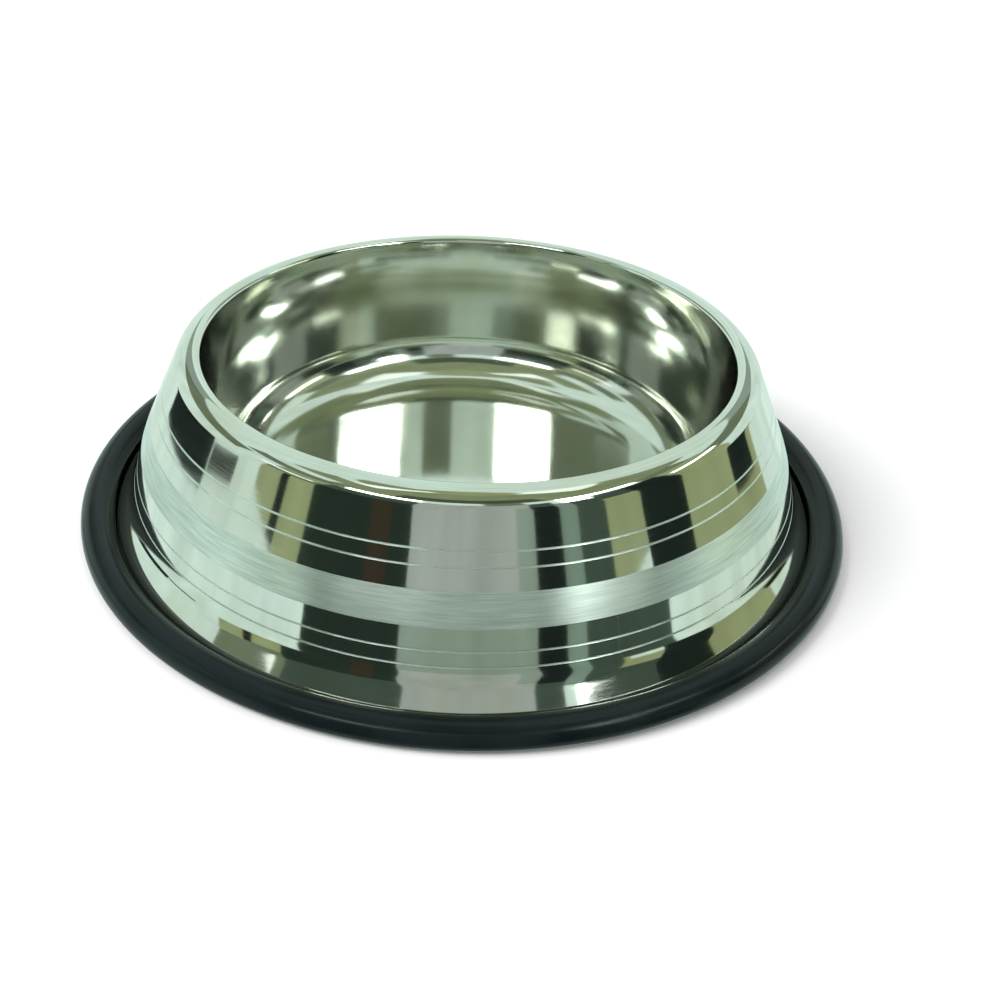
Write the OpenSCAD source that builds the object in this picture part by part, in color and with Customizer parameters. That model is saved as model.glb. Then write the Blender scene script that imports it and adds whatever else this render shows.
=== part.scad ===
// Non-tip dog bowl: one pressed stainless steel sheet that stands in a rubber anti-skid ring.
// Sections are drawn with X as the radius and Y as the height, and turned about the Z axis.

/* [Overall] */
// Height of the rim above the surface that the bowl stands on
bowl_h = 61; // [57:0.5:70]
// Outer diameter of the rubber ring
ring_d = 270; // [220:1:320]

/* [Inner bowl] */
// Distance from the ring's outer edge in to the clear mouth
mouth_in = 45.2; // [40:0.2:52]
// Distance from the clear mouth in to the flat part of the floor
floor_in = 21.3; // [20:0.1:34]
// Height of the inside floor above the surface that the bowl stands on
floor_h = 4; // [2.5:0.5:10]
// Inside radius between floor and wall
floor_bend_r = 18; // [8:1:20]
// Thickness of the steel sheet
sheet_t = 0.5; // [0.4:0.1:1]
// Outside radius of the rolled rim
rim_r = 4.2; // [3:0.1:6]

/* [Skirt] */
// Distance from the ring's outer edge in to the knee, where the upper cone meets the steeper lower one
knee_in = 23.2; // [21:0.1:26]
// Height of the knee
knee_h = 28.4; // [26:0.2:33]
// Outside radius of the gentle bend at the knee
knee_bend_r = 60; // [20:5:80]
// Radius of the hollow curve that turns the skirt out into the flange
flare_r = 4; // [2:0.5:6]
// Width of the flat flange, from the end of the flare to its edge
flange_w = 8.1; // [7:0.1:9]

/* [Turned finish] */
// Distance from the middle of the knee up the skirt to the middle of the satin band
band_up = 2.9; // [1:0.1:5]
// Width of the satin band, up the skirt
band_w = 10.8; // [6:0.2:14]
// Depth to which the satin band is ground below the polish
band_depth = 0.04; // [0.02:0.01:0.08]
// Distance along the skirt from the middle of the band to the middle of each pair of lines
pair_off = 14.6; // [12:0.2:16]
// Distance between the two lines of a pair, up the skirt
line_pitch = 4.8; // [2:0.1:7]
// Width of a turned line
line_w = 0.65; // [0.4:0.05:0.8]
// Depth of a turned line
line_depth = 0.12; // [0.06:0.01:0.2]

/* [Rubber ring] */
// Height of the ring at its crown
ring_h = 8; // [7:0.5:10]
// Thickness of the rubber outside the groove
ring_wall = 3.7; // [3:0.1:5]
// Radius of the round between the ring's underside and its outer edge
ring_round_r = 2.8; // [2:0.1:3.2]
// Height of the seat that the flange lies on, which is also the thickness of the foot
seat_h = 2.5; // [2:0.1:3.2]
// How far the foot reaches in under the flare
foot_reach = 2.5; // [2:0.5:5]
// Width of the flange left bare, from the end of the flare to the upper lip
bare_w = 1.1; // [0.5:0.1:1.5]
// Thickness of the upper lip at its inner edge
lip_t = 1.8; // [1:0.1:2.2]
// Clearance over and round the flange, inside the groove
groove_gap = 0.3; // [0.2:0.05:0.5]

/* [Hidden] */
$fn = 120;

// How far a shape runs past what it cuts, or into what it joins
overrun = sheet_t;

// The flange fills the groove of the ring but for the clearance
flange_h = seat_h + sheet_t;
flange_x = ring_d / 2 - ring_wall - groove_gap;
flare_x = flange_x - flange_w;
mouth_x = ring_d / 2 - mouth_in;

// The sheet is wrapped round a row of formers, from the centre of the floor to the flange's edge.
// Each former is [radius of its centre, height of its centre, bend radius of the show face].
// A bend to the left, as on the way up from the floor, counts as positive and one to the right as negative.
rim = [mouth_x + rim_r, bowl_h - rim_r, -rim_r];
knee_corner = [ring_d / 2 - knee_in, knee_h, 0];
flare = [flare_x, flange_h + flare_r, flare_r];
knee = rounded(rim, knee_corner, flare, knee_bend_r);
formers = [
    [0, floor_h, 0],
    [mouth_x - floor_in, floor_h + floor_bend_r, floor_bend_r],
    rim,
    knee,
    flare,
    [flange_x, flange_h, 0]
];
last = len(formers) - 1;
// Largest turn, in degrees, between two points of a bend
arc_step = 5;

// Centre of a former
function centre(former) = [former[0], former[1]];

// Direction of the straight run from one former to another, in degrees from outward
function heading(a, b) =
    let (step = centre(b) - centre(a))
    atan2(step[1], step[0]) + asin((a[2] - b[2]) / norm(step));

// Direction of the run that leaves former i
function run_heading(i) = heading(formers[i], formers[i + 1]);

// Unit vector in the direction h, along the path
function along(h) = [cos(h), sin(h)];

// Unit vector from the show face into the sheet, where the path runs in the direction h
function normal(h) = [sin(h), -cos(h)];

// Point of the show face on a former, where the path runs in the direction h
function on_former(former, h) = centre(former) + former[2] * normal(h);

// Former of radius r that rounds the corner between formers a and b, whichever way the path turns there
function rounded(a, corner, b, r) =
    let (
        from = heading(a, corner),
        turn = heading(corner, b) - from,
        bend = sign(turn) * r,
        middle = centre(corner) - bend / cos(turn / 2) * normal(from + turn / 2)
    )
    [middle[0], middle[1], bend];

// Points of one face of the sheet along its whole path, at a depth under the show face
function face(depth) = [
    for (i = [0 : last])
        let (
            from = run_heading(max(i - 1, 0)),
            to = run_heading(min(i, last - 1)),
            steps = max(ceil(abs(to - from) / arc_step), 1)
        )
        for (k = [0 : (i == 0 || i == last) ? 0 : steps])
            let (h = from + (to - from) * k / steps)
            on_former(formers[i], h) + depth * normal(h)
];

// Places on the skirt are distances up its show face, from the middle of the knee's arc
upper_heading = heading(rim, knee);
lower_heading = heading(knee, flare);
half_knee = knee[2] * (lower_heading - upper_heading) / 2 * PI / 180;

// The part of a distance up the skirt that lies on the knee's arc
function on_knee(up) = max(-half_knee, min(half_knee, up));

// Direction of the path at a distance up the skirt
function skirt_heading(up) =
    (upper_heading + lower_heading) / 2 - on_knee(up) / knee[2] * 180 / PI;

// Point of the show face at a distance up the skirt
function on_skirt(up) =
    let (h = skirt_heading(up))
    on_former(knee, h) - (up - on_knee(up)) * along(h);

// Radius of the round cutter that leaves a line of the named width and depth
line_cutter_r = (line_w * line_w / 4 + line_depth * line_depth) / (2 * line_depth);

// Rubber ring: its outer edge is a small round below and a larger shoulder above, level with each other
shoulder_r = ring_h - ring_round_r;
shoulder_x = ring_d / 2 - shoulder_r;
round_x = ring_d / 2 - ring_round_r;
foot_x = flare_x - foot_reach + seat_h / 2;
groove_top_h = flange_h + groove_gap;
lip_round_r = lip_t / 2;
lip_x = flare_x + bare_w + lip_round_r;
lip_mid_h = groove_top_h + lip_round_r;
// The crown arc leaves the shoulder level at ring_h and meets the round of the lip without a step
crown_run = shoulder_x - lip_x;
crown_drop = ring_h - lip_mid_h;
crown_r = (crown_run * crown_run + crown_drop * crown_drop - lip_round_r * lip_round_r)
    / (2 * (crown_drop - lip_round_r));
crown_end_x = shoulder_x - crown_run * crown_r / (crown_r - lip_round_r);

// Rectangle between two corners of a section
module box_section(low, high) {
    translate(low)
        square(high - low);
}

// Section of the sheet between two depths: out along one face and back along the other
module layer_section(depth, deeper) {
    back = face(deeper);
    polygon(concat(face(depth), [for (k = [len(back) - 1 : -1 : 0]) back[k]]));
}

// Round cutter for one turned line, at a distance up the skirt
module line_cutter(up) {
    translate(on_skirt(up) - (line_cutter_r - line_depth) * normal(skirt_heading(up)))
        circle(r = line_cutter_r);
}

// Cutters for the turned finish: a satin band ground over the knee, between two pairs of lines
module finish_cutters() {
    band_low_h = on_skirt(band_up - band_w / 2)[1];
    band_high_h = on_skirt(band_up + band_w / 2)[1];
    intersection() {
        layer_section(-overrun, band_depth);
        box_section([rim[0], band_low_h], [flange_x, band_high_h]);
    }
    for (pair = [-1, 1], line = [-1, 1])
        line_cutter(band_up + pair * pair_off + line * line_pitch / 2);
}

// Inner bowl, rolled rim, skirt and flange, pressed from one sheet and open underneath
module steel_bowl() {
    color("gainsboro")
        rotate_extrude()
            difference() {
                layer_section(0, sheet_t);
                finish_cutters();
            }
}

// Moulded ring whose inward groove grips the flange; the bowl stands on its flat underside
module rubber_ring() {
    color("darkslategray")
        rotate_extrude()
            difference() {
                union() {
                    box_section([foot_x, 0], [round_x, seat_h]);
                    translate([foot_x, seat_h / 2])
                        circle(d = seat_h);
                    translate([round_x, ring_round_r])
                        circle(r = ring_round_r);
                    box_section([lip_x, seat_h], [shoulder_x, lip_mid_h]);
                    translate([lip_x, lip_mid_h])
                        circle(r = lip_round_r);
                    intersection() {
                        translate([shoulder_x, ring_round_r])
                            circle(r = shoulder_r);
                        box_section([shoulder_x - overrun, ring_round_r], [ring_d / 2, ring_h]);
                    }
                    intersection() {
                        translate([shoulder_x, ring_h - crown_r])
                            circle(r = crown_r);
                        box_section([crown_end_x, lip_mid_h], [shoulder_x, ring_h]);
                    }
                }
                box_section([lip_x - lip_round_r - overrun, seat_h], [flange_x + groove_gap, groove_top_h]);
            }
}

steel_bowl();
rubber_ring();
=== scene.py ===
"""Looks of a non-tip dog bowl: a polished steel pressing in a moulded rubber ring, in a pale studio."""

import math
from collections import namedtuple

import bmesh
import bpy
from bpy.props import FloatProperty, FloatVectorProperty, IntProperty, PointerProperty
from mathutils import Matrix, Vector


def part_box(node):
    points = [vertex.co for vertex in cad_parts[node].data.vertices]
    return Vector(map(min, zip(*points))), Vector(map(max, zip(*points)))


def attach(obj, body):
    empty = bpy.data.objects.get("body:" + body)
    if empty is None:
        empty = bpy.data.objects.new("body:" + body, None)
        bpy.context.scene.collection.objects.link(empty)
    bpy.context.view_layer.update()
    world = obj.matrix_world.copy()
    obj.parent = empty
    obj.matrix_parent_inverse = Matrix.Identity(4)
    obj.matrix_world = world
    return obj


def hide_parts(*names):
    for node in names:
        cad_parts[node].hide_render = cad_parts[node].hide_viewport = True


bl_info = {
    "name": "Dog bowl",
    "version": (1, 0, 0),
    "blender": (4, 5, 0),
    "location": "3D View > Sidebar > Dog bowl",
    "description": "Builds a stainless steel dog bowl, its rubber ring and a studio round them",
    "category": "Add Mesh",
}

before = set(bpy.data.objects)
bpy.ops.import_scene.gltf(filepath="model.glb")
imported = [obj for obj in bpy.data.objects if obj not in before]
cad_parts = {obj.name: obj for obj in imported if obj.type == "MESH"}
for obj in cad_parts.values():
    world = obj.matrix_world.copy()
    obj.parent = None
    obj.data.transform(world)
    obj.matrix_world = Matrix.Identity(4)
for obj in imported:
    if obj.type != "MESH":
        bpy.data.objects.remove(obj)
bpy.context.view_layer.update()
STEEL_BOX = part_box("steel_bowl")
RING_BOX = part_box("rubber_ring")
MM = 0.001


def linear(code):
    """Linear colour of an sRGB hex code."""
    channels = [int(code[k : k + 2], 16) / 255 for k in (1, 3, 5)]
    return [c / 12.92 if c <= 0.04045 else ((c + 0.055) / 1.055) ** 2.4 for c in channels]


def length(name, description, millimetres):
    """Property for a length that is given in millimetres."""
    return FloatProperty(
        name=name, description=description, default=millimetres * MM, precision=5, unit="LENGTH"
    )


def angle(name, description, degrees):
    """Property for an angle that is given in degrees."""
    return FloatProperty(
        name=name, description=description, default=math.radians(degrees), subtype="ANGLE"
    )


def colour(name, description, code):
    """Property for a colour that is given as an sRGB hex code."""
    return FloatVectorProperty(
        name=name, description=description, default=linear(code), subtype="COLOR", size=3, min=0, max=1
    )


class BowlSizes(bpy.types.PropertyGroup):
    """Sizes of the pressed steel sheet and its turned finish."""

    height: length("Height", "Height of the rim above the floor", STEEL_BOX[1].z / MM)
    mouth_in: length("Mouth inset", "From the ring's outer edge in to the clear mouth", 45.2)
    floor_in: length("Floor inset", "From the clear mouth in to the flat floor", 21.3)
    floor_h: length("Floor height", "Height of the inside floor", 4)
    floor_bend: length("Floor bend", "Inside radius between floor and wall", 18)
    sheet: length("Sheet", "Thickness of the steel sheet", 0.5)
    rim_in: length("Inner rim", "Radius of the rolled rim towards the mouth", 1.9)
    rim_out: length("Outer rim", "Radius of the rolled rim towards the skirt", 7.5)
    rim_flat: length("Rim top", "Width of the level top between the rim's two curves", 0.3)
    knee_in: length("Knee inset", "From the ring's outer edge in to the knee", 23.2)
    knee_h: length("Knee height", "Height of the knee of the skirt", 28.4)
    knee_bend: length("Knee bend", "Outside radius of the bend at the knee", 60)
    foot_in: length("Foot inset", "From the ring's outer edge in to the foot of the lower cone", 18.1)
    foot_h: length("Foot height", "Height of the foot of the lower cone", 11.3)
    foot_bend: length("Foot bend", "Radius of the wide hollow curve at that foot", 16)
    flare: length("Flare", "Radius of the small hollow curve that ends in the flange", 2)
    flange_w: length("Flange width", "Width of the flat flange", 6.3)
    band_up: length("Band place", "From the knee up to the middle of the satin band", 2.9)
    band_w: length("Band width", "Width of the satin band", 10.8)
    band_depth: length("Band depth", "Depth of the satin band under the polish", 0.04)
    pair_off: length("Pair place", "From the band to each pair of turned lines", 14.6)
    line_pitch: length("Line pitch", "Distance between the two lines of a pair", 4.8)
    line_w: length("Line width", "Width of a turned line", 0.65)
    line_depth: length("Line depth", "Depth of a turned line", 0.12)


class RingSizes(bpy.types.PropertyGroup):
    """Sizes of the rubber ring."""

    outer: length("Outer radius", "Outer radius of the ring", RING_BOX[1].x / MM)
    height: length("Height", "Height of the ring at its crown", RING_BOX[1].z / MM)
    wall: length("Wall", "Thickness of the rubber outside the groove", 3.7)
    round: length("Round", "Radius of the round at the floor", 2.8)
    seat_h: length("Seat height", "Height of the seat under the flange", 2.5)
    foot_in: length("Foot inset", "From the ring's outer edge in to the end of the foot", 14.6)
    lip_in: length("Lip inset", "From the ring's outer edge in to the end of the upper lip", 10.7)
    lip_t: length("Lip", "Thickness of the upper lip at its inner edge", 1.8)
    groove_gap: length("Groove gap", "Clearance over and round the flange", 0.3)


class FinishSettings(bpy.types.PropertyGroup):
    """Colours and fineness of the object's surfaces."""

    steel: colour("Steel", "Colour of polished stainless steel", "#DCE0DB")
    steel_warm: colour("Warm steel", "Colour of the steel where the polish is thinner", "#D2D3C6")
    satin: colour("Satin steel", "Colour of ground stainless steel", "#F1FAF5")
    satin_dull: colour("Dull satin steel", "Colour in the deeper grinding marks", "#D2DCD6")
    rubber: colour("Rubber", "Colour of the moulded rubber", "#0B1315")
    rubber_dusty: colour("Dusty rubber", "Colour of the rubber where it is handled", "#151E20")
    segments: IntProperty(
        name="Segments", description="Steps of a full turn", default=352, min=48, max=512
    )


class StudioSettings(bpy.types.PropertyGroup):
    """Camera, floor and lights of the studio."""

    tilt: angle("Tilt", "How far the camera looks down", 33.021)
    roll: angle("Roll", "Turn of the camera about its own line of sight", 2.230)
    distance: length("Distance", "From the camera to the middle of the bowl's underside", 448.6)
    lens: FloatProperty(name="Lens", description="Focal length", default=43.98, unit="CAMERA")
    shift_x: FloatProperty(name="Shift X", description="Sideways shift of the lens", default=0.0362)
    shift_y: FloatProperty(name="Shift Y", description="Upward shift of the lens", default=-0.0120)
    floor: colour("Floor", "Colour of the paper on the floor", "#EDEDED")
    fill: FloatProperty(name="Fill", description="Strength of the even light from all sides", default=0.86)
    key: FloatProperty(name="Key", description="Strength of the lamp that gives the shadow", default=2.8)
    key_side: angle("Key side", "Direction of that lamp, from the camera's side round to the right", -83)
    key_up: angle("Key height", "How high that lamp stands", 40)
    key_soft: angle("Key softness", "Width of that lamp as the bowl sees it", 35)


# Section drawing

Former = namedtuple("Former", "centre bend")


def along(heading):
    """Unit vector in a direction of the section plane."""
    return Vector((math.cos(heading), math.sin(heading)))


def normal(heading):
    """Unit vector from the show face into the sheet, where the section runs in a direction."""
    return Vector((math.sin(heading), -math.cos(heading)))


def heading_between(a, b):
    """Direction of the straight run that touches two formers."""
    step = b.centre - a.centre
    return math.atan2(step.y, step.x) + math.asin((a.bend - b.bend) / step.length)


def rounded(a, corner, b, radius):
    """Former that rounds the corner between two others, whichever way the sheet turns there."""
    start = heading_between(a, corner)
    turn = heading_between(corner, b) - start
    bend = math.copysign(radius, turn)
    middle = corner.centre - bend / math.cos(turn / 2) * normal(start + turn / 2)
    return Former(middle, bend)


class Pen:
    """Draws one stretch of a section in the XZ plane as a connected wire."""

    def __init__(self, start, margin=0.0):
        self.wire = bmesh.new()
        self.tip = bmesh.ops.create_vert(self.wire, co=(start.x, 0, start.y))["vert"][0]
        self.margin = margin

    def at(self):
        """Place of the pen."""
        return Vector((self.tip.co.x, self.tip.co.z))

    def line(self, *ends):
        """Draws straight to each end in turn."""
        for end in ends:
            self.tip = bmesh.ops.extrude_vert_indiv(self.wire, verts=[self.tip])["verts"][0]
            self.tip.co = (end.x, 0, end.y)

    def run(self, end):
        """Draws a straight run, with a piece of the margin's length at each end that keeps shading true."""
        start = self.at()
        step = end - start
        if step.length > 3 * self.margin > 0:
            inset = step.normalized() * self.margin
            self.line(start + inset, end - inset)
        self.line(end)

    def bend(self, centre, turn, step):
        """Draws an arc about a centre, to the left where the turn is positive."""
        spun = bmesh.ops.spin(
            self.wire,
            geom=[self.tip],
            cent=(centre.x, 0, centre.y),
            axis=(0, -1, 0),
            angle=turn,
            steps=max(1, math.ceil(abs(turn) / step)),
        )
        self.tip = next(v for v in spun["geom_last"] if isinstance(v, bmesh.types.BMVert))


def new_piece(name, shape, materials):
    """Makes an object of a bmesh, with its materials, and frees the bmesh."""
    mesh = bpy.data.meshes.new(name)
    shape.to_mesh(mesh)
    shape.free()
    for material in materials:
        mesh.materials.append(material)
    piece = bpy.data.objects.new(name, mesh)
    bpy.context.scene.collection.objects.link(piece)
    return piece


# A short sector is turned first and then repeated, which is far quicker than one spin of many steps
SECTORS = 16
# Points of a surface that are closer than this become one
SAME_POINT = 0.001 * MM
# Edges at which the surface turns by this or more are shaded as sharp
CREASE = math.radians(25)


class Turning:
    """A surface of revolution that is drawn stretch by stretch, each with its own material slot."""

    def __init__(self, segments):
        self.whole = bmesh.new()
        self.segments = segments

    def add(self, pen, slot=0):
        """Turns the pen's wire about the Z axis, adds it and returns a new pen at its end."""
        end = pen.at()
        turn = {"cent": (0, 0, 0), "axis": (0, 0, 1)}
        sector = math.tau / SECTORS
        wire = pen.wire.verts[:] + pen.wire.edges[:]
        bmesh.ops.spin(pen.wire, geom=wire, angle=sector, steps=self.segments // SECTORS, **turn)
        piece = pen.wire.verts[:] + pen.wire.edges[:] + pen.wire.faces[:]
        others = SECTORS - 1
        bmesh.ops.spin(pen.wire, geom=piece, angle=others * sector, steps=others, use_duplicate=True, **turn)
        for face in pen.wire.faces:
            face.material_index = slot
            face.smooth = True
        stretch = bpy.data.meshes.new("stretch")
        pen.wire.to_mesh(stretch)
        pen.wire.free()
        self.whole.from_mesh(stretch)
        bpy.data.meshes.remove(stretch)
        return Pen(end, pen.margin)

    def finish(self, name, materials):
        """Closes the surface, turns it outwards, marks its sharp edges and makes the piece."""
        bmesh.ops.remove_doubles(self.whole, verts=self.whole.verts[:], dist=SAME_POINT)
        bmesh.ops.recalc_face_normals(self.whole, faces=self.whole.faces[:])
        open_edges = [edge for edge in self.whole.edges if not edge.is_manifold]
        if open_edges:
            raise RuntimeError(f"{name} has {len(open_edges)} open edges")
        for edge in self.whole.edges:
            edge.smooth = edge.calc_face_angle() < CREASE
        return new_piece(name, self.whole, materials)


# Steel bowl

# Material slots of the bowl
POLISHED, GROUND = 0, 1
# Places of the formers in their row
FLOOR, FLOOR_BEND, INNER_RIM, RIM, KNEE, FOOT, FLARE, EDGE = range(8)
# Largest turn between two points of the sheet, and of its foot, its flare and a turned line
SHEET_STEP = math.radians(2.5)
FOOT_STEP = math.radians(1.5)
FLARE_STEP = math.radians(4)
LINE_STEP = math.radians(21)
# Length of the short piece at each end of a straight run
SHEET_MARGIN = 1.0 * MM


class Skirt:
    """Places on the skirt's show face, as distances up from the middle of the knee's arc."""

    def __init__(self, rim, knee, foot):
        self.knee = knee
        self.upper = heading_between(rim, knee)
        self.lower = heading_between(knee, foot)
        self.half_knee = knee.bend * (self.lower - self.upper) / 2

    def on_knee(self, up):
        """The part of a distance up the skirt that lies on the knee's arc."""
        return max(-self.half_knee, min(self.half_knee, up))

    def heading(self, up):
        """Direction of the section at a distance up the skirt."""
        return (self.upper + self.lower) / 2 - self.on_knee(up) / self.knee.bend

    def point(self, up, depth=0.0):
        """Point at a distance up the skirt and a depth under the show face."""
        heading = self.heading(up)
        on_arc = self.knee.centre + (self.knee.bend + depth) * normal(heading)
        return on_arc - (up - self.on_knee(up)) * along(heading)

    def follow(self, pen, start, end, depth=0.0):
        """Draws down the skirt from one distance to another, straight on the cones and round the knee."""
        stops = [up for up in (self.half_knee, -self.half_knee) if end < up < start]
        for up in stops + [end]:
            if start * up > 0 and min(abs(start), abs(up)) >= self.half_knee:
                pen.run(self.point(up, depth))
            else:
                pen.bend(self.knee.centre, self.heading(up) - self.heading(start), SHEET_STEP)
            start = up


class SheetPath:
    """Way of the sheet round its formers, from the centre of the floor to the flange's edge."""

    def __init__(self, formers):
        self.formers = formers
        self.headings = [heading_between(a, b) for a, b in zip(formers, formers[1:])]

    def wrap(self, pen, k, depth, step):
        """Draws straight to former k and round it, at a depth under the show face."""
        former = self.formers[k]
        before, after = self.headings[k - 1], self.headings[k]
        pen.run(former.centre + (former.bend + depth) * normal(before))
        pen.bend(former.centre, after - before, step)


def bowl_formers(sizes, ring):
    """Formers that the sheet is wrapped round, from the centre of the floor to the flange's edge."""
    flange_h = ring.seat_h + sizes.sheet
    flange_x = ring.outer - ring.wall - ring.groove_gap
    mouth_x = ring.outer - sizes.mouth_in
    rim_x = mouth_x + sizes.rim_in
    inner_rim = Former(Vector((rim_x, sizes.height - sizes.rim_in)), -sizes.rim_in)
    rim = Former(Vector((rim_x + sizes.rim_flat, sizes.height - sizes.rim_out)), -sizes.rim_out)
    knee_corner = Former(Vector((ring.outer - sizes.knee_in, sizes.knee_h)), 0)
    foot_corner = Former(Vector((ring.outer - sizes.foot_in, sizes.foot_h)), 0)
    knee = rounded(rim, knee_corner, foot_corner, sizes.knee_bend)
    flare = Former(Vector((flange_x - sizes.flange_w, flange_h + sizes.flare)), sizes.flare)
    bend_centre = Vector((mouth_x - sizes.floor_in, sizes.floor_h + sizes.floor_bend))
    return [
        Former(Vector((0, sizes.floor_h)), 0),
        Former(bend_centre, sizes.floor_bend),
        inner_rim,
        rim,
        knee,
        rounded(knee, foot_corner, flare, sizes.foot_bend),
        flare,
        Former(Vector((flange_x, flange_h)), 0),
    ]


def turned_line(turning, pen, skirt, start, up, sizes):
    """Draws down the skirt to a turned line and across it; returns a new pen and how far up that is."""
    half, depth = sizes.line_w / 2, sizes.line_depth
    radius = (half**2 + depth**2) / (2 * depth)
    skirt.follow(pen, start, up + half)
    pen = turning.add(pen, POLISHED)
    pen.bend(skirt.point(up, depth - radius), 2 * math.asin(half / radius), LINE_STEP)
    return turning.add(pen, GROUND), up - half


def satin_band(turning, pen, skirt, start, sizes):
    """Draws down the skirt to the satin band and across it; returns a new pen and how far up that is."""
    half, depth = sizes.band_w / 2, sizes.band_depth
    top, bottom = sizes.band_up + half, sizes.band_up - half
    skirt.follow(pen, start, top)
    pen = turning.add(pen, POLISHED)
    pen.line(skirt.point(top, depth))
    skirt.follow(pen, top, bottom, depth)
    pen.line(skirt.point(bottom))
    return turning.add(pen, GROUND), bottom


def draw_steel_bowl(turning, sizes, ring):
    """Draws the sheet's show face with its turned finish, then its hidden face."""
    formers = bowl_formers(sizes, ring)
    path = SheetPath(formers)
    skirt = Skirt(formers[RIM], formers[KNEE], formers[FOOT])
    floor, edge = formers[FLOOR].centre, formers[EDGE].centre
    half_pitch = sizes.line_pitch / 2
    above, below = sizes.band_up + sizes.pair_off, sizes.band_up - sizes.pair_off

    pen = Pen(floor, SHEET_MARGIN)
    for k in (FLOOR_BEND, INNER_RIM, RIM):
        path.wrap(pen, k, 0, SHEET_STEP)
    up = (pen.at() - skirt.point(skirt.half_knee)).length + skirt.half_knee
    for line_up in (above + half_pitch, above - half_pitch):
        pen, up = turned_line(turning, pen, skirt, up, line_up, sizes)
    pen, up = satin_band(turning, pen, skirt, up, sizes)
    for line_up in (below + half_pitch, below - half_pitch):
        pen, up = turned_line(turning, pen, skirt, up, line_up, sizes)
    path.wrap(pen, FOOT, 0, FOOT_STEP)
    path.wrap(pen, FLARE, 0, FLARE_STEP)
    pen.run(edge)
    turning.add(pen, POLISHED)

    back = sizes.sheet
    pen = Pen(floor + back * normal(path.headings[0]), SHEET_MARGIN)
    for k in range(FLOOR_BEND, EDGE):
        path.wrap(pen, k, back, 2 * SHEET_STEP)
    pen.run(edge + back * normal(path.headings[-1]))
    pen.line(edge)
    turning.add(pen, POLISHED)


# Rubber ring

# Largest turn between two points of the ring, which is finer on the crown and coarser on the lip and foot
RING_STEP = math.radians(4)
RING_MARGIN = 0.6 * MM


def draw_rubber_ring(turning, sizes, bowl):
    """Draws the ring's closed section: foot, outer edge, crown, lip and groove."""
    seat = sizes.seat_h
    round_x = sizes.outer - sizes.round
    shoulder_x = sizes.outer - (sizes.height - sizes.round)
    foot_x = sizes.outer - sizes.foot_in + seat / 2
    groove_x = sizes.outer - sizes.wall
    groove_top = seat + bowl.sheet + sizes.groove_gap
    lip_r = sizes.lip_t / 2
    lip = Vector((sizes.outer - sizes.lip_in + lip_r, groove_top + lip_r))
    run, drop = shoulder_x - lip.x, sizes.height - lip.y
    crown_r = (run**2 + drop**2 - lip_r**2) / (2 * (drop - lip_r))
    crown = Vector((shoulder_x, sizes.height - crown_r))
    crown_turn = math.atan2(run, lip.y - crown.y)
    quarter = math.pi / 2

    pen = Pen(Vector((foot_x, 0)), RING_MARGIN)
    pen.run(Vector((round_x, 0)))
    pen.bend(Vector((round_x, sizes.round)), quarter, RING_STEP)
    pen.bend(Vector((shoulder_x, sizes.round)), quarter, RING_STEP)
    pen.bend(crown, crown_turn, RING_STEP / 4)
    pen.bend(lip, math.pi - crown_turn, 2 * RING_STEP)
    pen.run(Vector((groove_x, groove_top)))
    pen.line(Vector((groove_x, seat)))
    pen.run(Vector((foot_x, seat)))
    pen.bend(Vector((foot_x, seat / 2)), math.pi, 2 * RING_STEP)
    turning.add(pen)


# Materials


def node(tree, kind, output="", settings=None, links=None):
    """Adds a node with its settings and links, and returns one of its outputs; sockets go by identifier."""
    made = tree.nodes.new(kind)
    values = dict(settings or {})
    for key in [key for key in values if hasattr(made, key)]:
        setattr(made, key, values.pop(key))
    inputs = {socket.identifier: socket for socket in made.inputs}
    for key, value in values.items():
        inputs[key].default_value = value
    for key, source in (links or {}).items():
        tree.links.new(source, inputs[key])
    return next((socket for socket in made.outputs if socket.identifier == output), made)


def new_material(name):
    """Material with an empty node tree; returns both."""
    material = bpy.data.materials.new(name)
    material.use_nodes = True
    material.node_tree.nodes.clear()
    return material, material.node_tree


# Most of a noise lies between these values, which are spread over the range that a pattern needs
NOISE = {"From Min": 0.3, "From Max": 0.7}


def cloud(tree, size, detail):
    """Even noise whose patches are about one size across."""
    place = node(tree, "ShaderNodeTexCoord", "Object")
    return node(tree, "ShaderNodeTexNoise", "Fac", {"Scale": 1 / size, "Detail": detail}, {"Vector": place})


def mottled(tree, pattern, first, second):
    """Colour that goes from one to another with a noise."""
    share = node(tree, "ShaderNodeMapRange", "Result", NOISE, {"Value": pattern})
    return node(tree, "ShaderNodeMix", "Result_Color",
                {"data_type": "RGBA", "A_Color": (*first, 1), "B_Color": (*second, 1)},
                {"Factor_Float": share})


def from_axis(tree):
    """Level vector from the axis to each point of the surface, and its length."""
    place = node(tree, "ShaderNodeTexCoord", "Object")
    level = node(tree, "ShaderNodeVectorMath", "Vector", {"operation": "MULTIPLY", "Vector_001": (1, 1, 0)},
                 {"Vector": place})
    radius = node(tree, "ShaderNodeVectorMath", "Value", {"operation": "LENGTH"}, {"Vector": level})
    return level, radius


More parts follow.
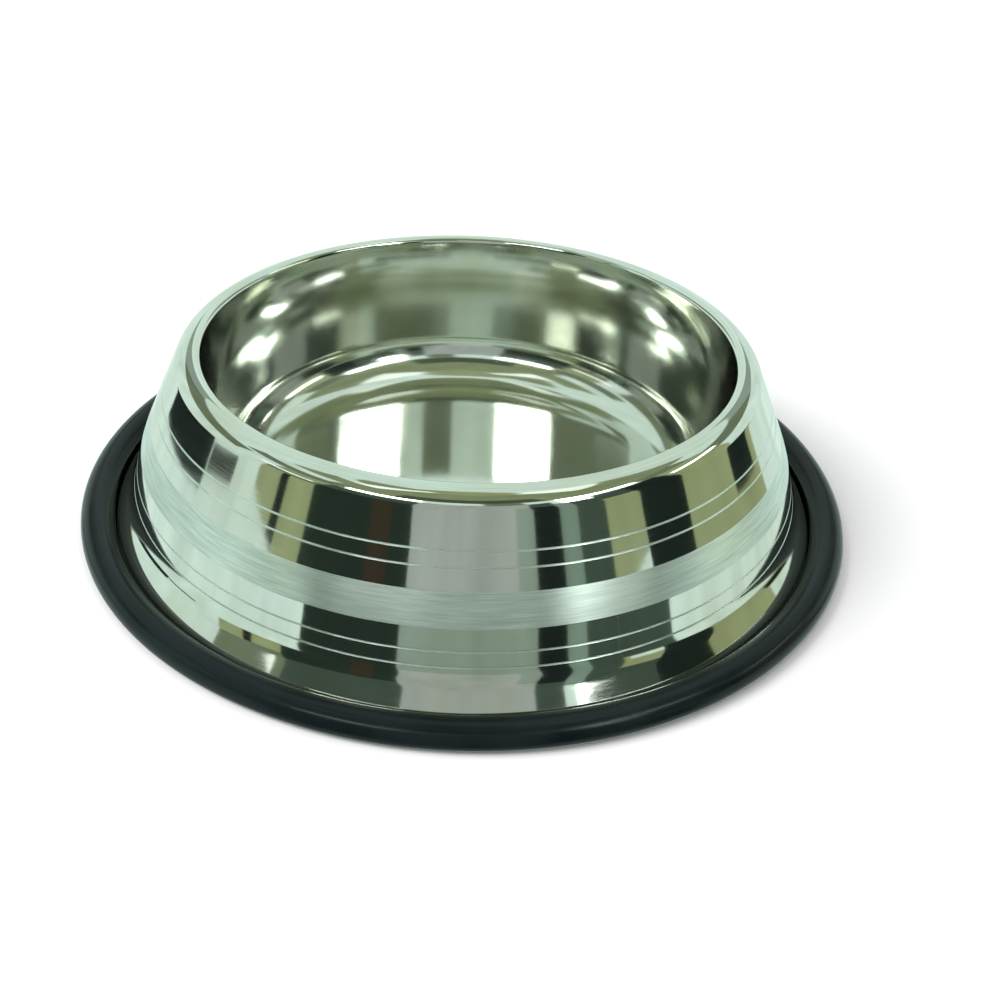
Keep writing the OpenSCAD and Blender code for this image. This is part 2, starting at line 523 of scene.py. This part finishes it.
def turned_marks(tree, pitch, broken, detail):
    """Noise in lines that run round the axis, a pitch apart and broken up round each turn."""
    level, radius = from_axis(tree)
    outward = node(tree, "ShaderNodeVectorMath", "Vector", {"operation": "NORMALIZE"}, {"Vector": level})
    place = node(tree, "ShaderNodeTexCoord", "Object")
    height = node(tree, "ShaderNodeSeparateXYZ", "Z", links={"Vector": place})
    across, up = (
        node(tree, "ShaderNodeMath", "Value", {"operation": "DIVIDE", "Value_001": pitch}, {"Value": far})
        for far in (radius, height)
    )
    lines = node(tree, "ShaderNodeCombineXYZ", "Vector", links={"Z": across})
    point = node(tree, "ShaderNodeVectorMath", "Vector",
                 {"operation": "MULTIPLY_ADD", "Vector_001": (broken, broken, 0)},
                 {"Vector": outward, "Vector_002": lines})
    return node(tree, "ShaderNodeTexNoise", "Fac", {"noise_dimensions": "4D", "Scale": 1, "Detail": detail},
                {"Vector": point, "W": up})


def polished_steel(finish, mouth):
    """Mirror-polished stainless steel, pressed and then buffed on a turning lathe.

    The eye gets clear reflections whose edges waver a little where the sheet was drawn over the
    former, very fine buffing marks that run round the bowl, and faint clouds of haze. Inside the
    mouth's radius, where the buffing wheel reaches less well, the reflections are softer.
    """
    material, tree = new_material("mirror_polished_stainless_steel")
    haze = cloud(tree, size=35 * MM, detail=3)
    # Real buffing marks are some 0.02 mm apart, so these are drawn coarse enough to show
    marks = turned_marks(tree, pitch=0.35 * MM, broken=6, detail=2)
    tone = mottled(tree, haze, finish.steel, finish.steel_warm)
    hazy = node(tree, "ShaderNodeMapRange", "Result", {**NOISE, "To Min": 0.03, "To Max": 0.055},
                {"Value": haze})
    scratched = node(tree, "ShaderNodeMapRange", "Result", {**NOISE, "To Min": 0, "To Max": 0.035},
                     {"Value": marks})
    fine = node(tree, "ShaderNodeMath", "Value", {"operation": "ADD"},
                {"Value": hazy, "Value_001": scratched})
    _, radius = from_axis(tree)
    inner = node(tree, "ShaderNodeMapRange", "Result",
                 {"From Min": mouth, "From Max": mouth - 2 * MM, "To Min": 0, "To Max": 0.05},
                 {"Value": radius})
    rough = node(tree, "ShaderNodeMath", "Value", {"operation": "ADD"}, {"Value": fine, "Value_001": inner})
    waves = cloud(tree, size=16 * MM, detail=2)
    drawn = node(tree, "ShaderNodeBump", "Normal", {"Strength": 1, "Distance": 0.018 * MM},
                 {"Height": waves})
    ripples = turned_marks(tree, pitch=3 * MM, broken=2, detail=2)
    buffed = node(tree, "ShaderNodeBump", "Normal", {"Strength": 1, "Distance": 0.003 * MM},
                  {"Height": ripples, "Normal": drawn})
    surface = node(tree, "ShaderNodeBsdfPrincipled", "BSDF", {"Metallic": 1},
                   {"Base Color": tone, "Roughness": rough, "Normal": buffed})
    node(tree, "ShaderNodeOutputMaterial", links={"Surface": surface})
    return material


def satin_steel(finish):
    """Satin-ground stainless steel: a belt was held to the turning bowl.

    The eye gets a pale band of fine level scratches, which smears reflections up and down but
    keeps their upright edges, with a few deeper scratches that show as darker hairlines.
    """
    material, tree = new_material("satin_ground_stainless_steel")
    # Real grinding scratches are about 0.05 mm apart, so these are drawn coarse enough to show
    scratches = turned_marks(tree, pitch=0.5 * MM, broken=9, detail=3)
    tone = mottled(tree, scratches, finish.satin, finish.satin_dull)
    rough = node(tree, "ShaderNodeMapRange", "Result", {**NOISE, "To Min": 0.34, "To Max": 0.44},
                 {"Value": scratches})
    place = node(tree, "ShaderNodeTexCoord", "Object")
    around = node(tree, "ShaderNodeVectorMath", "Vector", {"operation": "CROSS_PRODUCT", "Vector": (0, 0, 1)},
                  {"Vector_001": place})
    tangent = node(tree, "ShaderNodeVectorMath", "Vector", {"operation": "NORMALIZE"}, {"Vector": around})
    ground = node(tree, "ShaderNodeBump", "Normal", {"Strength": 1, "Distance": 0.006 * MM},
                  {"Height": scratches})
    surface = node(tree, "ShaderNodeBsdfPrincipled", "BSDF",
                   {"Metallic": 1, "Anisotropic": 0.95, "Anisotropic Rotation": 0.25},
                   {"Base Color": tone, "Roughness": rough, "Normal": ground, "Tangent": tangent})
    node(tree, "ShaderNodeOutputMaterial", links={"Surface": surface})
    return material


def moulded_rubber(finish, ring):
    """Black rubber, moulded in a blasted steel mould.

    The eye gets a near-black with a soft broad gloss, a faint grain, slightly greyer patches
    where the ring is handled, and a fine parting line where the mould's halves met.
    """
    material, tree = new_material("moulded_black_rubber")
    handled = cloud(tree, size=22 * MM, detail=4)
    tone = mottled(tree, handled, finish.rubber, finish.rubber_dusty)
    rough = node(tree, "ShaderNodeMapRange", "Result", {**NOISE, "To Min": 0.16, "To Max": 0.28},
                 {"Value": handled})
    # The blasted grain is about 0.1 mm, and is drawn coarser to show
    blasted = cloud(tree, size=0.5 * MM, detail=2)
    grain = node(tree, "ShaderNodeBump", "Normal", {"Strength": 1, "Distance": 0.012 * MM},
                 {"Height": blasted})
    place = node(tree, "ShaderNodeTexCoord", "Object")
    height = node(tree, "ShaderNodeSeparateXYZ", "Z", links={"Vector": place})
    # The parting line runs where the ring is widest, and is 0.2 mm wide
    line = node(tree, "ShaderNodeMath", "Value",
                {"operation": "COMPARE", "Value_001": ring.round, "Value_002": 0.1 * MM}, {"Value": height})
    parted = node(tree, "ShaderNodeBump", "Normal", {"Strength": 1, "Distance": 0.04 * MM},
                  {"Height": line, "Normal": grain})
    surface = node(tree, "ShaderNodeBsdfPrincipled", "BSDF", {"IOR": 1.52, "Specular IOR Level": 0.16},
                   {"Base Color": tone, "Roughness": rough, "Normal": parted})
    node(tree, "ShaderNodeOutputMaterial", links={"Surface": surface})
    return material


# Share of its colour that the paper keeps where its mottle is darkest
PAPER_SHADE = 0.985


def paper(white):
    """Matt white paper, with a faint mottle."""
    material, tree = new_material("pale_floor_paper")
    darker = [PAPER_SHADE * channel for channel in white]
    mottle = cloud(tree, size=400 * MM, detail=3)
    tone = node(tree, "ShaderNodeMix", "Result_Color",
                {"data_type": "RGBA", "A_Color": (*white, 1), "B_Color": (*darker, 1)},
                {"Factor_Float": mottle})
    surface = node(tree, "ShaderNodeBsdfPrincipled", "BSDF", {"Roughness": 0.9}, {"Base Color": tone})
    node(tree, "ShaderNodeOutputMaterial", links={"Surface": surface})
    return material


# The folds of the cloth are about 0.45 m apart and four times as tall, and keep this share of its light
FOLDS = {"Scale": 2.2, "Detail": 4}
FOLD_STRETCH = (1, 1, 0.25)
FOLD_SHADE = 0.8


def glowing_cloth(name, code, strength):
    """Lit cloth or board of a screen, with soft upright folds."""
    material, tree = new_material(name)
    place = node(tree, "ShaderNodeTexCoord", "Object")
    stretched = node(tree, "ShaderNodeVectorMath", "Vector",
                     {"operation": "MULTIPLY", "Vector_001": FOLD_STRETCH}, {"Vector": place})
    folds = node(tree, "ShaderNodeTexNoise", "Fac", FOLDS, {"Vector": stretched})
    lit = linear(code)
    shaded = [FOLD_SHADE * channel for channel in lit]
    tone = mottled(tree, folds, lit, shaded)
    surface = node(tree, "ShaderNodeEmission", "Emission", {"Strength": strength}, {"Color": tone})
    node(tree, "ShaderNodeOutputMaterial", links={"Surface": surface})
    return material


# Screens and lamps that the steel mirrors

# Tone of each kind of screen, and its strength
SCREEN_TONES = {
    "tent": ("#E0F6EC", 1.15),
    "glow": ("#F4FFF8", 1.6),
    "spot": ("#F4FFF8", 5.0),
    "window": ("#B9C2BE", 1.0),
    "pane": ("#9FB2A6", 1.0),
    "olive": ("#A8B488", 1.0),
    "sage": ("#94A27E", 1.0),
    "shade": ("#7C8A72", 1.0),
    "gloom": ("#56604E", 1.0),
    "dark": ("#2C3A32", 1.0),
    "deep": ("#222C28", 1.0),
    "mid": ("#8AA294", 1.0),
    "dim": ("#4A5A50", 1.0),
    "brown": ("#403A2E", 1.0),
    "lamp": ("#F6FFF9", 14.0),
}

Screen = namedtuple("Screen", "tone left right low high tilt", defaults=[0])

# Each screen's sides are degrees from the camera's side round to the right, and its lower and upper
# edges degrees above the floor, as the bowl sees them. A tilt raises its right end. A later one
# stands in front of an earlier one.
SCREENS = [
    Screen("tent", 0, 360, -90, 90),
    Screen("olive", 0, 360, 80, 90),
    Screen("sage", -60, 75, 46, 81),
    Screen("sage", 75, 122, 46, 65),
    Screen("sage", -100, -60, 55, 66),
    Screen("sage", -130, -60, 70, 81),
    Screen("glow", 78, 118, 65, 79),
    Screen("glow", -80, -57, 66, 84),
    Screen("gloom", -30, 36, 47, 60),
    Screen("pane", -160, -90, 20, 34),
    Screen("pane", 106, 160, 20, 34),
    Screen("shade", -145, -90, 20, 34),
    Screen("shade", 106, 142, 20, 34),
    Screen("shade", -100, -48, 38, 47),
    Screen("shade", 74, 104, 38, 47),
    Screen("deep", -131, -96, -8.1, -3.9, 17.4),
    Screen("deep", -97, -84, 0, 1.4, 17.4),
    Screen("olive", -75, -53, 5, 38),
    Screen("deep", -66, -63, 5, 24),
    Screen("shade", -75, -53, 20, 30),
    Screen("dark", -53, -46, 6, 38),
    Screen("dark", -47, -17, -30, 38),
    Screen("dim", -53, -17, 26, 38),
    Screen("brown", -31, -24, -2, 24),
    Screen("shade", -17, 24, 38, 46),
    Screen("window", -17, 24, -40, 38),
    Screen("tent", -17, 8, 38.6, 47),
    Screen("pane", -17, 18, -40, 2),
    Screen("pane", 18, 24, -40, 22),
    Screen("deep", 24, 33, -30, 24),
    Screen("dim", 24, 33, 24, 38),
    Screen("mid", 33, 39, -30, 31),
    Screen("dim", 39, 49, -30, 38),
    Screen("olive", 49, 62, 0, 17),
    Screen("dim", 49, 62, 17, 38),
    Screen("tent", 51, 63, 1, 6),
    Screen("dim", 49, 67, -30, 0),
    Screen("deep", 62, 81, 0, 38),
    Screen("olive", 80, 106, -1, 38),
    Screen("olive", 80, 122, -6, 2, -17),
    Screen("deep", 104, 118, -7, -2, -17),
    Screen("lamp", -48, -17, 40.7, 45),
    Screen("tent", 24, 38, 40.7, 45),
    Screen("lamp", 38, 58, 40.7, 45),
    Screen("lamp", 37, 48, 31, 40),
    Screen("lamp", 58, 74, 41.3, 45),
    Screen("glow", -80, -56, 26.2, 29.2),
    Screen("spot", 83, 108, 25.5, 29.5),
]

# The first screen hangs this far from the bowl, and each later one this much nearer, in metres
FARTHEST_SCREEN = 4.0
SCREEN_GAP = 0.02
# Largest step of a screen's surface, up and round
SCREEN_RISE = math.radians(2)
SCREEN_TURN = math.radians(5)
# The sides of a screen waver by this angle, so many times from the floor to straight up
SCREEN_SWAY = math.radians(0.5)
SCREEN_WAVES = 3


def hang_screen(screen, distance, material):
    """Hangs one screen round the bowl, as a patch of a large sphere that only reflections see."""
    left, right, low, high, tilt = (math.radians(degrees) for degrees in screen[1:])
    pen = Pen(distance * along(low))
    pen.bend(Vector((0, 0)), high - low, SCREEN_RISE)
    shape, bowl = pen.wire, Vector((0, 0, 0))
    for vert in shape.verts:
        sway = SCREEN_SWAY * math.sin(4 * SCREEN_WAVES * math.atan2(vert.co.z, vert.co.xy.length))
        bmesh.ops.rotate(shape, verts=[vert], cent=bowl, matrix=Matrix.Rotation(sway, 3, "Z"))
    start = Matrix.Rotation(left - math.pi / 2, 3, "Z")
    bmesh.ops.rotate(shape, verts=shape.verts[:], cent=bowl, matrix=start)
    bmesh.ops.spin(
        shape,
        geom=shape.verts[:] + shape.edges[:],
        cent=bowl,
        axis=(0, 0, 1),
        angle=right - left,
        steps=math.ceil((right - left) / SCREEN_TURN),
        use_merge=right - left == math.tau,
    )
    bmesh.ops.remove_doubles(shape, verts=shape.verts[:], dist=MM)
    middle, height = (left + right - math.pi) / 2, (low + high) / 2
    level = math.cos(height)
    outward = Vector((math.cos(middle) * level, math.sin(middle) * level, math.sin(height)))
    bmesh.ops.rotate(shape, verts=shape.verts[:], cent=bowl, matrix=Matrix.Rotation(tilt, 3, outward))
    piece = new_piece("screen", shape, [material])
    for ray in ("camera", "diffuse", "transmission", "volume_scatter", "shadow"):
        setattr(piece, "visible_" + ray, False)


def hang_screens():
    """Hangs every screen, with one cloth for all of the same tone."""
    cloths = {tone: glowing_cloth(tone + "_screen", *look) for tone, look in SCREEN_TONES.items()}
    for k, screen in enumerate(SCREENS):
        hang_screen(screen, FARTHEST_SCREEN - k * SCREEN_GAP, cloths[screen.tone])


# Floor, lamp and camera

# From the middle of the floor to each of its sides, in metres
FLOOR_REACH = 6


def lay_floor(studio):
    """Lays the paper that the bowl stands on, which the steel doesn't mirror."""
    shape = bmesh.new()
    bmesh.ops.create_grid(shape, x_segments=1, y_segments=1, size=FLOOR_REACH)
    floor = new_piece("floor", shape, [paper(studio.floor)])
    floor.visible_glossy = False


def set_lights(scene, studio):
    """Sets up the lamp that gives the shadow, and the even light from all sides."""
    key = bpy.data.objects.new("key", bpy.data.lights.new("key", "SUN"))
    key.data.energy = studio.key
    key.data.angle = studio.key_soft
    towards = Matrix.Rotation(studio.key_side, 3, "Z") @ Vector((0, -math.cos(studio.key_up), 0))
    towards.z = math.sin(studio.key_up)
    key.matrix_world = towards.to_track_quat("Z", "Y").to_matrix().to_4x4()
    key.visible_glossy = False
    scene.collection.objects.link(key)

    world = bpy.data.worlds.new("studio")
    world.use_nodes = True
    background = world.node_tree.nodes["Background"]
    background.inputs["Color"].default_value = (1, 1, 1, 1)
    background.inputs["Strength"].default_value = studio.fill
    scene.world = world
    scene.view_settings.view_transform = "Standard"


def set_camera(scene, studio):
    """Sets up the camera at the photograph's viewing angle."""
    back = Vector((0, -math.cos(studio.tilt), math.sin(studio.tilt)))
    look = (-back).to_track_quat("-Z", "Y").to_matrix()
    turned = look @ Matrix.Rotation(studio.roll, 3, "Z")
    camera = bpy.data.objects.new("camera", bpy.data.cameras.new("camera"))
    camera.matrix_world = Matrix.Translation(back * studio.distance) @ turned.to_4x4()
    camera.data.lens = studio.lens
    camera.data.shift_x = studio.shift_x
    camera.data.shift_y = studio.shift_y
    camera.data.clip_start = 10 * MM
    scene.collection.objects.link(camera)
    scene.camera = camera


# Operators


class DOGBOWL_OT_steel_bowl(bpy.types.Operator):
    """Build the pressed steel bowl with its turned finish"""

    bl_idname = "dogbowl.steel_bowl"
    bl_label = "Steel bowl"

    def execute(self, context):
        scene = context.scene
        bowl, ring, finish = scene.dogbowl_bowl, scene.dogbowl_ring, scene.dogbowl_finish
        turning = Turning(finish.segments)
        draw_steel_bowl(turning, bowl, ring)
        materials = [polished_steel(finish, ring.outer - bowl.mouth_in), satin_steel(finish)]
        piece = turning.finish("steel_bowl_pressing", materials)
        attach(piece, "root")
        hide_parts("steel_bowl")
        return {"FINISHED"}


class DOGBOWL_OT_rubber_ring(bpy.types.Operator):
    """Build the moulded rubber ring"""

    bl_idname = "dogbowl.rubber_ring"
    bl_label = "Rubber ring"

    def execute(self, context):
        scene = context.scene
        bowl, ring, finish = scene.dogbowl_bowl, scene.dogbowl_ring, scene.dogbowl_finish
        turning = Turning(finish.segments)
        draw_rubber_ring(turning, ring, bowl)
        piece = turning.finish("rubber_ring_moulding", [moulded_rubber(finish, ring)])
        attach(piece, "root")
        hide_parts("rubber_ring")
        return {"FINISHED"}


class DOGBOWL_OT_studio(bpy.types.Operator):
    """Build the floor, the lights and the camera"""

    bl_idname = "dogbowl.studio"
    bl_label = "Studio"

    def execute(self, context):
        scene = context.scene
        studio = scene.dogbowl_studio
        lay_floor(studio)
        hang_screens()
        set_lights(scene, studio)
        set_camera(scene, studio)
        return {"FINISHED"}


class DOGBOWL_PT_build(bpy.types.Panel):
    """Lists the operators and settings"""

    bl_idname = "DOGBOWL_PT_build"
    bl_label = "Dog bowl"
    bl_space_type = "VIEW_3D"
    bl_region_type = "UI"
    bl_category = "Dog bowl"

    def draw(self, context):
        for operator in OPERATORS:
            self.layout.operator(operator.bl_idname)
        for name, group in GROUPS.items():
            box = self.layout.box()
            box.label(text=group.__doc__)
            for prop in group.__annotations__:
                box.prop(getattr(context.scene, name), prop)


GROUPS = {
    "dogbowl_bowl": BowlSizes,
    "dogbowl_ring": RingSizes,
    "dogbowl_finish": FinishSettings,
    "dogbowl_studio": StudioSettings,
}
OPERATORS = (DOGBOWL_OT_steel_bowl, DOGBOWL_OT_rubber_ring, DOGBOWL_OT_studio)
CLASSES = (*GROUPS.values(), *OPERATORS, DOGBOWL_PT_build)


def register():
    for cls in CLASSES:
        bpy.utils.register_class(cls)
    for name, group in GROUPS.items():
        setattr(bpy.types.Scene, name, PointerProperty(type=group))


def unregister():
    for name in GROUPS:
        delattr(bpy.types.Scene, name)
    for cls in reversed(CLASSES):
        bpy.utils.unregister_class(cls)


def main():
    """Registers the classes and builds every piece and the studio."""
    register()
    bpy.ops.dogbowl.steel_bowl()
    bpy.ops.dogbowl.rubber_ring()
    bpy.ops.dogbowl.studio()


if __name__ == "__main__":
    main()
